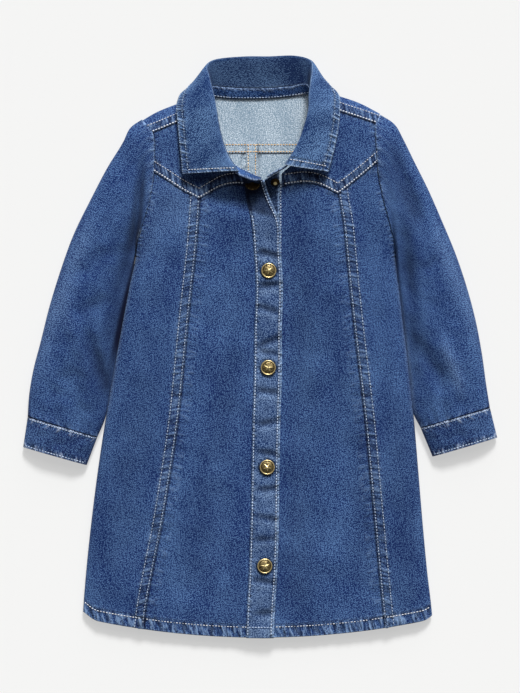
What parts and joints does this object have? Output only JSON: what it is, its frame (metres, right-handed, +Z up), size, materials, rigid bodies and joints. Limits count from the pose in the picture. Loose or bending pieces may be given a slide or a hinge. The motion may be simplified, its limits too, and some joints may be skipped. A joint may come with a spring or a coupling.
{
  "type": "shirt dress",
  "caption": "Toddler's long-sleeved denim shirt dress with a spread collar, pointed yoke and brass snaps, laid flat on its back.",
  "frame": {"origin": "middle of the dress's footprint, on the surface that it rests on", "axes": "+Y from the hem to the collar, +X to the right as one looks at its front, +Z up out of its front"},
  "size_m": [0.474, 0.5814, 0.0393],
  "materials": {
    "denim": "matt indigo twill, pale on its reverse",
    "antique_brass": "antiqued, satin"
  },
  "bodies": {
    "root": {"back_yoke": "denim", "back_left": "denim", "back_right": "denim", "front_yoke_left": "denim", "front_yoke_right": "denim", "front_centre_left": "denim", "front_centre_right": "denim", "front_side_left": "denim", "front_side_right": "denim", "placket_over": "denim", "placket_under": "denim", "collar_band": "denim", "collar": "denim", "sleeve_left": "denim", "sleeve_right": "denim", "cuff_left": "denim", "cuff_right": "denim", "snap_neck": "antique_brass", "snap_chest": "antique_brass", "snap_waist": "antique_brass", "snap_hip": "antique_brass", "snap_hem": "antique_brass", "snap_stud_neck": "antique_brass"}
  },
  "joints": []
}
